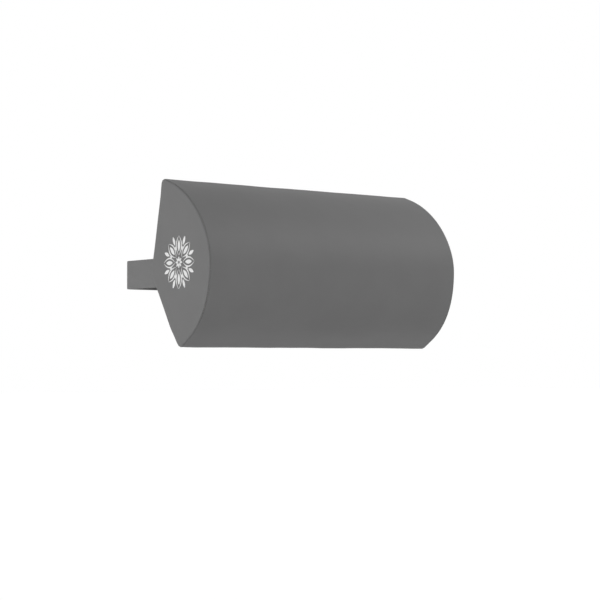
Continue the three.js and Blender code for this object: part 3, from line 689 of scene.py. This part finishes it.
def end_height(y, z, side):
    """How far out the end panel lies at a point: rolled in at its seam and slightly domed."""
    distance = from_rim(y, z)
    height = HALF_LENGTH - END_SET - roll(distance, END_ROLL, END_ROLL_DEPTH)
    height += END_DOME * (1 - math.exp(-distance / END_DOME_REACH))
    return side * (height + END_UNEVEN * ripple(y, z, END_UNEVEN_SCALE, side * 2))


def end_cover(name, side, node):
    """A domed D: the section's loop drawn in ring by ring towards its middle."""
    bm = bmesh.new()
    middle = Vector((0, *MIDDLE))
    places = np.linspace(0, PERIMETER, END_RIM_POINTS, endpoint=False)
    loop = [bm.verts.new((0, *on_section(t, END_SET))) for t in places]
    edges = [bm.edges.new(pair) for pair in zip(loop, loop[1:] + loop[:1])]
    reach = RIM_REACH.mean()
    before = 1.0
    for ring in END_RINGS:
        row, edges = pull_out(bm, edges, (0, 0, 0))
        share = 1 - ring / reach
        bmesh.ops.scale(bm, verts=row, vec=[share / before] * 3, space=Matrix.Translation(-middle))
        before = share
    bmesh.ops.contextual_create(bm, geom=edges)
    for vert in bm.verts:
        vert.co.x = end_height(vert.co.y, vert.co.z, side)
    bmesh.ops.recalc_face_normals(bm, faces=bm.faces[:])
    face_out(bm, middle)
    area = sum(f.calc_area() for f in bm.faces)
    piece = finish_mesh(name, bm, COVER)
    give_thickness(piece)
    seat(piece, "pillow", "cover", node)


# Foam
def zip_bed(travel):
    """How much deeper the foam lies under the zip's tapes and slider."""
    offset = abs(travel - ZIP_AT)
    tapes = TAPE_BED * (1 - soft_step((offset - TAPE_OUTER - TAPE_BED_GAP) / TAPE_BED_SLOPE))
    slider = SLIDER_BED * (1 - soft_step((offset - SLIDER_BED_HALF) / SLIDER_BED_SLOPE))
    return tapes + slider


def foam_pad():
    """The core inside the cover, rounded at its ends and hollowed under the zip."""
    bm = bmesh.new()
    layer = bm.verts.layers.float.new("travel")
    bed = [ZIP_AT + s for s in np.arange(-BED_REACH, BED_REACH + BED_SPACING / 2, BED_SPACING)]
    rest = [t for t in np.arange(0, PERIMETER - FOAM_SPACING / 3, FOAM_SPACING)
            if abs(t - ZIP_AT) > BED_REACH + BED_MARGIN]
    loop = []
    for travel in sorted(bed + rest):
        vert = bm.verts.new((-FOAM_HALF, *on_section(travel)))
        vert[layer] = travel
        loop.append(vert)
    edges = [bm.edges.new(pair) for pair in zip(loop, loop[1:] + loop[:1])]
    bmesh.ops.contextual_create(bm, geom=edges)
    places = between(-FOAM_HALF, FOAM_HALF, FOAM_LENGTH_SPACING, FOAM_END_ROWS)
    for here, there in zip(places, places[1:]):
        edges = pull_out(bm, edges, (there - here, 0, 0))[1]
    bmesh.ops.contextual_create(bm, geom=edges)
    for vert in bm.verts:
        rounding = roll(FOAM_HALF - abs(vert.co.x), FOAM_ROUND, FOAM_ROUND)
        inward = FOAM_INSET + zip_bed(vert[layer]) + rounding
        vert.co = (vert.co.x, *on_section(vert[layer], inward))
    bmesh.ops.recalc_face_normals(bm, faces=bm.faces[:])
    piece = seat(finish_mesh("foam_pad", bm, FOAM), "pillow", "foam", "foam_core")


# Stitching
def stitch_row(bm, path, normals, pitch, length, radius):
    """Stitches along a run of points: short thread humps that dip into the cloth at their ends."""
    total = run_length(path)
    count = max(1, round(total / pitch))
    travel = np.concatenate([[0], np.cumsum([(b - a).length for a, b in zip(path, path[1:])])])
    upright = Matrix.Rotation(math.pi / 2, 4, "Y")
    size = Matrix.Diagonal((length / 2, radius, radius * THREAD_FLATTENING, 1))
    for i in range(count):
        at = (i + 0.5) * total / count
        point = Vector([np.interp(at, travel, [p[k] for p in path]) for k in range(3)])
        k = min(int(np.searchsorted(travel, at)), len(path) - 1)
        way = (path[k] - path[k - 1]).normalized()
        out = normals[k].normalized()
        turn = Matrix((way, out.cross(way), out)).transposed().to_4x4()
        bmesh.ops.create_uvsphere(bm, u_segments=6, v_segments=6, radius=1,
                                  matrix=Matrix.Translation(point) @ turn @ size @ upright)


def zip_stitching():
    """One row of topstitching on each side of the zip."""
    bm = bmesh.new()
    edge = ZIP_WINDOW / 2 + TOPSTITCH_FROM_SLIT
    for travel in (ZIP_AT - edge, ZIP_AT + edge):
        path = []
        for x in np.linspace(-TOPSTITCH_HALF, TOPSTITCH_HALF, 60):
            dent = cover_dent(x, travel, travel - 1, travel + 1)
            path.append(Vector((x, *on_section(travel, dent - TOPSTITCH_LIFT))))
        stitch_row(bm, path, [outward_at(travel)] * len(path), *TOPSTITCH)
    piece = finish_mesh("zip_topstitch", bm, GREY_THREAD)
    seat(piece, "pillow", "back_cover")


def strap_stitching():
    """A box with a cross through both layers of the sewn loop."""
    bm = bmesh.new()
    face_y = SECOND_Y + STRAP_THICK / 2 + BOX_STITCH_LIFT
    far = LEFT_DOWN_X - SEWN_LOOP + BOX_FROM_END
    near = LEFT_DOWN_X - BOX_FROM_FOLD
    half = STRAP_WIDTH / 2 - BOX_FROM_EDGE
    round_and_across = [(far, -half), (near, -half), (near, half), (far, half), (far, -half), (near, half)]
    back_across = [(near, -half), (far, half)]
    for corners in (round_and_across, back_across):
        points = [Vector((x, face_y, STRAP_MID_Z + z)) for x, z in corners]
        for a, b in zip(points, points[1:]):
            stitch_row(bm, [a, b], [Vector((0, 1, 0))] * 2, *BOX_STITCH)
    piece = finish_mesh("strap_box_stitch", bm, GREY_THREAD)
    seat(piece, "pillow", "webbing")


# Embroidered rosette
def petal(bm, weave, angle, start, end, width, bow):
    """One satin-stitched petal along a ray on the left end: pointed, raised on each side, perhaps bowed."""
    along = Vector((math.cos(angle), math.sin(angle)))
    over = Vector((-along.y, along.x))
    chain = [bm.verts.new((0, 0, 0)) for _ in PETAL_ACROSS]
    edges = [bm.edges.new(pair) for pair in zip(chain, chain[1:] + chain[:1])]
    bmesh.ops.contextual_create(bm, geom=edges)
    grid = [chain]
    for _ in range(PETAL_ROWS):
        verts, edges = pull_out(bm, edges, (0, 0, 0))
        grid.append(verts)
    bmesh.ops.contextual_create(bm, geom=edges)
    where = {}
    for i, row in enumerate(grid):
        share = i / PETAL_ROWS
        swell = math.sin(math.pi * share) ** PETAL_FULLNESS
        half = width / 2 * swell + PETAL_TIP
        out = start + (end - start) * share
        for vert, side, up in zip(row, PETAL_ACROSS, PETAL_RISE):
            sideways = half * side + bow * max(swell, BOW_AT_TIP)
            y, z = Vector(ROSETTE_AT) + along * out + over * sideways
            height = THREAD_RISE * up * min(1, 4 * math.sin(math.pi * share) + 0.2) - THREAD_SUNK
            vert.co = (end_height(y, z, -1) - height, y, z)
            where[vert] = (out, half * side)
    for face in {f for row in grid for v in row for f in v.link_faces}:
        for corner in face.loops:
            corner[weave].uv = where[corner.vert]


def rosette():
    """Outlined petals with leaves between them, round a small flower."""
    bm = bmesh.new()
    weave = bm.loops.layers.uv.new("weave")
    for i in range(RAYS):
        for turn, start, end, width, bow in PETALS:
            petal(bm, weave, FULL_TURN * (i + turn) / RAYS, start, end, width, bow)
    bmesh.ops.recalc_face_normals(bm, faces=bm.faces[:])
    seat(finish_mesh("end_rosette", bm, WHITE_THREAD), "pillow", "cover")


# Webbing
def right_angles(corners):
    """A path in X and Y through corners (x, y, radius) where it turns by a right angle."""
    path = []
    for i, (x, y, radius) in enumerate(corners):
        corner = Vector((x, y, 0))
        if not radius:
            path.append(corner)
            continue
        before = (Vector((*corners[i - 1][:2], 0)) - corner).normalized()
        after = (Vector((*corners[i + 1][:2], 0)) - corner).normalized()
        centre = corner + (before + after) * radius
        for turn in np.linspace(0, math.pi / 2, BEND_POINTS):
            path.append(centre - after * radius * math.cos(turn) - before * radius * math.sin(turn))
    return path


def denser(path, spacing):
    """A path with its points no further apart than the spacing, and none of them twice."""
    points = []
    for a, b in zip(path, path[1:]):
        count = math.ceil((b - a).length / spacing - 0.001)
        points += [a.lerp(b, i / count) for i in range(count)]
    return points + [path[-1]]


def band(name, path, width, thickness, material, closed=False):
    """Webbing along a path in X and Y, its width along Z, with thin selvedges and a UV for its weave."""
    bm = bmesh.new()
    weave = bm.loops.layers.uv.new("weave")
    half = width / 2
    thin = thickness / 2
    edge = [(half - inwards, share) for inwards, share in SELVEDGE]
    side = [(-z, -n * thin) for z, n in edge] + [(0, -thin)] + [(z, -n * thin) for z, n in reversed(edge)]
    profile = side + [(z, -n) for z, n in reversed(side)]
    rows = []
    edges = None
    count = len(path)
    for i, point in enumerate(path):
        before = path[i - 1] if i or closed else point
        after = path[(i + 1) % count] if i + 1 < count or closed else point
        way = (after - before).normalized()
        out = Vector((-way.y, way.x, 0))
        if edges is None:
            row = [bm.verts.new((0, 0, 0)) for _ in profile]
            edges = [bm.edges.new(pair) for pair in zip(row, row[1:] + row[:1])]
        else:
            row, edges = pull_out(bm, edges, (0, 0, 0))
        for vert, (z, n) in zip(row, profile):
            vert.co = point + out * n + Vector((0, 0, z))
        rows.append(row)
    first = [e for e in bm.edges if set(e.verts) <= set(rows[0])]
    if closed:
        bmesh.ops.bridge_loops(bm, edges=first + edges)
    else:
        bmesh.ops.contextual_create(bm, geom=first)
        bmesh.ops.contextual_create(bm, geom=edges)
    travel = 0.0
    place = {}
    for i, row in enumerate(rows):
        travel += (path[i] - path[i - 1]).length if i else 0
        for vert, (z, n) in zip(row, profile):
            place[vert] = (travel, z + half)
    for face in bm.faces:
        reached = [place[v][0] for v in face.verts]
        wraps = closed and max(reached) - min(reached) > travel / 2
        for corner in face.loops:
            u, v = place[corner.vert]
            corner[weave].uv = (u + travel if wraps and u < travel / 2 else u, v)
    bmesh.ops.recalc_face_normals(bm, faces=bm.faces[:])
    return finish_mesh(name, bm, material, 50)


SOCKET_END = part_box("buckle_socket")[0].x
LEFT_UP_X = SOCKET_END + SOCKET_BAR + STRAP_GAP + STRAP_THICK / 2
LEFT_TOP_Y = STRAP_REAR_Y + STRAP_THICK + 2 * STRAP_GAP + SOCKET_BAR_THICK
LEFT_DROP = (LEFT_TOP_Y - SECOND_Y) / 2
LEFT_DOWN_X = SOCKET_END - SOCKET_CLEARANCE - LEFT_DROP
RIGHT_UP_X = INNER_BAR_X - STRAP_GAP - STRAP_THICK / 2
RIGHT_TOP_Y = STRAP_REAR_Y + STRAP_THICK + 2 * STRAP_GAP + INNER_BAR_THICK
RIGHT_DROP = (RIGHT_TOP_Y - SECOND_Y) / 2
RIGHT_DOWN_X = INNER_BAR_X + INNER_BAR + BAR_CLEARANCE + RIGHT_DROP


def straps():
    """Both lengths of webbing: out of the end seams, round to the buckle and back through it."""
    side_x = COVER_X - STRAP_THICK / 2
    bend = STRAP_BEND - STRAP_THICK / 2
    tail_y = STRAP_BOX[0].y
    left = [
        (-side_x, tail_y, 0), (-side_x, STRAP_REAR_Y, bend), (LEFT_UP_X, STRAP_REAR_Y, STRAP_FOLD),
        (LEFT_UP_X, LEFT_TOP_Y, STRAP_FOLD), (LEFT_DOWN_X, LEFT_TOP_Y, LEFT_DROP),
        (LEFT_DOWN_X, SECOND_Y, LEFT_DROP), (LEFT_DOWN_X - SEWN_LOOP, SECOND_Y, 0),
    ]
    right = [
        (side_x, tail_y, 0), (side_x, STRAP_REAR_Y, bend), (RIGHT_UP_X, STRAP_REAR_Y, STRAP_FOLD),
        (RIGHT_UP_X, RIGHT_TOP_Y, STRAP_FOLD), (RIGHT_DOWN_X, RIGHT_TOP_Y, RIGHT_DROP),
        (RIGHT_DOWN_X, SECOND_Y, RIGHT_DROP), (RIGHT_DOWN_X + FREE_TAIL, SECOND_Y, 0),
    ]
    pieces = []
    for name, corners in (("webbing_left", left), ("webbing_right", right)):
        path = denser(right_angles(corners), STRAP_SPACING)
        piece = band(name, path, STRAP_WIDTH, STRAP_THICK, WEBBING)
        piece.data.transform(Matrix.Translation((0, 0, STRAP_MID_Z)))
        pieces.append(piece)
    seat(pieces[0], "pillow", "webbing", "strap_left")
    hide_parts("strap_right")
    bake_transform(pieces[1])


def keeper():
    """An elastic loop round both layers of the strap, drawn flat and then turned to run round X."""
    low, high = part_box("strap_keeper")
    half_y = (high.y - low.y - KEEPER_WALL) / 2
    half_z = (high.z - low.z - KEEPER_WALL) / 2
    corners = [(half_y, -half_z), (half_y, half_z), (-half_y, half_z), (-half_y, -half_z)]
    ring = [(*corners[-1], 0)] + [(y, z, KEEPER_ROUND) for y, z in corners] + [(*corners[0], 0)]
    path = denser(right_angles(ring)[1:-1], KEEPER_SPACING)
    piece = band("keeper_loop", path, high.x - low.x, KEEPER_WALL, ELASTIC, closed=True)
    turn = Matrix(((0, 0, 1, 0), (1, 0, 0, 0), (0, 1, 0, 0), (0, 0, 0, 1)))
    piece.data.transform(Matrix.Translation((low + high) / 2) @ turn)
    seat(piece, "plug", "webbing", "strap_keeper")


# Zip
def zip_matrix():
    """From the zip's own frame to the pillow's."""
    up = Vector((0, math.sin(LOWER_LEAN), math.cos(LOWER_LEAN)))
    out = Vector((0, math.cos(LOWER_LEAN), -math.sin(LOWER_LEAN)))
    place = Vector((0, *on_section(ZIP_AT))) - out * ZIP_DEPTH
    return Matrix.Translation(place) @ Matrix((Vector((-1, 0, 0)), up, out)).transposed().to_4x4()


ZIP = zip_matrix()


def rounded_box(low, high, edge, segments):
    """A new bmesh with a box from its low to its high corner, its edges rounded."""
    bm = bmesh.new()
    size = Vector(high) - Vector(low)
    middle = (Vector(high) + Vector(low)) / 2
    bmesh.ops.create_cube(bm, size=1, matrix=Matrix.Translation(middle) @ Matrix.Diagonal((*size, 1)))
    bmesh.ops.bevel(bm, geom=bm.edges[:], offset=edge, offset_type="OFFSET", affect="EDGES",
                    segments=segments, profile=0.5, material=-1)
    return bm


def in_zip_frame(piece, slot, *nodes):
    piece.data.transform(ZIP)
    return seat(piece, "pillow", slot, *nodes)


def zip_tape(name, side, node):
    """Woven tape with a cord along its inner edge, which the teeth grip."""
    low, high = sorted((side * TAPE_INNER, side * TAPE_OUTER))
    bm = rounded_box((-TAPE_HALF, low, -TAPE_THICK / 2), (TAPE_HALF, high, TAPE_THICK / 2), TAPE_EDGE, 2)
    along_x = Matrix.Rotation(math.pi / 2, 4, "Y")
    bmesh.ops.create_cone(bm, cap_ends=True, segments=12, radius1=BEAD_RADIUS, radius2=BEAD_RADIUS,
                          depth=2 * (TAB_START - BEAD_END_GAP),
                          matrix=Matrix.Translation((0, side * BEAD_AT, 0)) @ along_x)
    weave = bm.loops.layers.uv.new("weave")
    for face in bm.faces:
        for corner in face.loops:
            corner[weave].uv = (corner.vert.co.x, corner.vert.co.y + corner.vert.co.z * 0.5)
    return in_zip_frame(finish_mesh(name, bm, TAPE, 40), "zip_tape", node)


def zip_teeth(name, side):
    """Moulded teeth, each with a foot that grips the cord, a waist and a head."""
    outline = [*HALF_TOOTH, *((-x, y) for x, y in reversed(HALF_TOOTH))]
    bm = bmesh.new()
    ring = [bm.verts.new((x, y * side, -TOOTH_THICK / 2)) for x, y in outline]
    face = bm.faces.new(ring)
    made = bmesh.ops.extrude_face_region(bm, geom=[face])["geom"]
    lifted = [g for g in made if isinstance(g, bmesh.types.BMVert)]
    bmesh.ops.translate(bm, verts=lifted, vec=(0, 0, TOOTH_THICK))
    bmesh.ops.recalc_face_normals(bm, faces=bm.faces[:])
    bmesh.ops.bevel(bm, geom=bm.edges[:], offset=TOOTH_EDGE, offset_type="OFFSET", affect="EDGES",
                    segments=1, profile=0.5, material=-1, clamp_overlap=True)
    first = (-ZIP_TEETH / 2 + TOOTH_STAGGER[0 if side > 0 else 1]) * ZIP_PITCH
    bmesh.ops.translate(bm, verts=bm.verts[:], vec=(first, 0, 0))
    tooth = bm.verts[:] + bm.edges[:] + bm.faces[:]
    for i in range(1, ZIP_TEETH):
        copy = bmesh.ops.duplicate(bm, geom=tooth)["geom"]
        bmesh.ops.translate(bm, verts=[g for g in copy if isinstance(g, bmesh.types.BMVert)],
                            vec=(i * ZIP_PITCH, 0, 0))
    return in_zip_frame(finish_mesh(name, bm, TOOTH_PLASTIC, 30), "zip_tape")


def zip_tab(name, node, stop):
    """A folded cloth tab that closes the slit from the stop at the end of the zip to the end seam."""
    low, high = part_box(node)
    stop_low, stop_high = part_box(stop)
    if low.x > 0:
        low.x, high.x = stop_high.x + STOP_GAP, COVER_X
    else:
        low.x, high.x = -COVER_X, stop_low.x - STOP_GAP
    half = ZIP_WINDOW / 2 - TAB_SIDE_GAP
    start = TAPE_THICK / 2 + TAB_LIFT
    bm = rounded_box((-high.x, -half, start), (-low.x, half, start + TAB_THICK), TAB_EDGE, 3)
    return in_zip_frame(finish_mesh(name, bm, BACKING, 60), "back_cover", node)


# Rigid pieces
def softened(node, name, material, body, slot, edge=0.00015, angle=32):
    """A node's own shape with its sharp edges softened."""
    bm = bmesh.new()
    bm.from_mesh(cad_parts[node].data)
    bmesh.ops.remove_doubles(bm, verts=bm.verts[:], dist=SAME_POINT)
    bmesh.ops.dissolve_limit(bm, angle_limit=FLAT_ANGLE, verts=bm.verts[:], edges=bm.edges[:])
    sharp = [e for e in bm.edges if e.is_manifold and e.calc_face_angle(0) > math.radians(angle)]
    bmesh.ops.bevel(bm, geom=sharp, offset=edge, offset_type="OFFSET", affect="EDGES", segments=2,
                    profile=0.5, material=-1, clamp_overlap=True)
    bmesh.ops.dissolve_degenerate(bm, dist=COLLAPSED, edges=bm.edges[:])
    return seat(finish_mesh(name, bm, material, 40), body, slot, node)


def zip_pieces():
    zip_tape("tape_upper", 1, "zip_tape_upper")
    zip_tape("tape_lower", -1, "zip_tape_lower")
    zip_teeth("teeth_upper", 1)
    zip_teeth("teeth_lower", -1)
    zip_tab("slit_tab_left", "zip_end_tab_left", "zip_top_stop_upper")
    zip_tab("slit_tab_right", "zip_end_tab_right", "zip_bottom_stop")
    softened("zip_slider", "slider_body", METAL, "slider", "zip_metal", edge=0.0001)
    softened("zip_pull", "pull_tab", METAL, "pull", "zip_metal", edge=0.0001)
    softened("zip_top_stop_upper", "top_stop_upper", METAL, "pillow", "zip_metal", edge=0.00008)
    softened("zip_top_stop_lower", "top_stop_lower", METAL, "pillow", "zip_metal", edge=0.00008)
    softened("zip_bottom_stop", "bottom_stop", METAL, "pillow", "zip_metal", edge=0.00008)


# Camera, floor and lights
def place_camera():
    data = bpy.data.cameras.new("camera")
    data.sensor_width = SENSOR_WIDTH
    data.lens = data.sensor_width * FOCAL_PIXELS / PHOTO_WIDTH
    camera = bpy.data.objects.new("camera", data)
    camera.location = CAMERA_AT
    camera.rotation_euler = (math.pi / 2 + CAMERA_PITCH, 0, -CAMERA_YAW)
    bpy.context.scene.collection.objects.link(camera)
    bpy.context.scene.camera = camera


def area_light(name, at, towards, size, power):
    data = bpy.data.lights.new(name, "AREA")
    data.shape = "RECTANGLE"
    data.size, data.size_y = size
    data.energy = power
    lamp = bpy.data.objects.new(name, data)
    lamp.location = at
    lamp.visible_camera = False
    lamp.rotation_euler = (Vector(towards) - Vector(at)).to_track_quat("-Z", "Y").to_euler()
    bpy.context.scene.collection.objects.link(lamp)


def white_when_seen(tree):
    """1 for the kinds of ray that see the background, 0 for those that light the object."""
    path = add(tree, "ShaderNodeLightPath")
    share = path.outputs[SEEN_BY[0]]
    for ray in SEEN_BY[1:]:
        share = calc(tree, "MAXIMUM", share, path.outputs[ray])
    return share


def make_floor():
    """A pale floor, white to rays that see it and clear from below."""
    bm = bmesh.new()
    bmesh.ops.create_grid(bm, x_segments=1, y_segments=1, size=FLOOR_HALF)
    bmesh.ops.translate(bm, verts=bm.verts[:], vec=(0, 0, FLOOR_Z))
    material, tree, shader = new_material("pale_floor", grey(FLOOR_LEVEL), 0.9)
    shader.inputs["Emission Color"].default_value = (1, 1, 1, 1)
    away = add(tree, "ShaderNodeVectorMath", {0: on_piece(tree)}, operation="LENGTH").outputs["Value"]
    level = add(tree, "ShaderNodeMapRange", {
        "Value": away, "From Min": GLOW_DISTANCE[0], "From Max": GLOW_DISTANCE[1],
        "To Min": GLOW_STRENGTH[0], "To Max": GLOW_STRENGTH[1],
    }).outputs["Result"]
    glow = calc(tree, "MULTIPLY", white_when_seen(tree), level)
    tree.links.new(calc(tree, "ADD", glow, GLOW_ALWAYS), shader.inputs["Emission Strength"])
    below = add(tree, "ShaderNodeNewGeometry").outputs["Backfacing"]
    clear = add(tree, "ShaderNodeBsdfTransparent").outputs[0]
    mix = add(tree, "ShaderNodeMixShader", {0: below, 1: shader.outputs[0], 2: clear})
    tree.links.new(mix.outputs[0], tree.nodes["Material Output"].inputs["Surface"])
    finish_mesh("floor", bm, material)


def light_the_scene():
    """Soft world light, white where it is seen, and the lamps."""
    world = bpy.data.worlds.new("studio")
    bpy.context.scene.world = world
    world.use_nodes = True
    tree = world.node_tree
    light = tree.nodes["Background"]
    light.inputs["Color"].default_value = (1, 1, 1, 1)
    light.inputs["Strength"].default_value = WORLD_STRENGTH
    white = add(tree, "ShaderNodeBackground", {"Color": (1, 1, 1, 1), "Strength": 1.0})
    mix = add(tree, "ShaderNodeMixShader",
              {0: white_when_seen(tree), 1: light.outputs[0], 2: white.outputs[0]})
    tree.links.new(mix.outputs[0], tree.nodes["World Output"].inputs["Surface"])
    for lamp in LAMPS:
        area_light(*lamp)


place_camera()
make_floor()
light_the_scene()
bpy.context.scene.view_settings.view_transform = "Standard"

foam_pad()
cover_panels()
end_cover("end_cover_left", -1, "end_panel_left")
end_cover("end_cover_right", 1, "end_panel_right")
rosette()
zip_pieces()
zip_stitching()
straps()
strap_stitching()
keeper()
softened("buckle_socket", "socket_body", PLASTIC, "pillow", "buckle")
softened("buckle_plug", "plug_body", PLASTIC, "plug", "buckle")
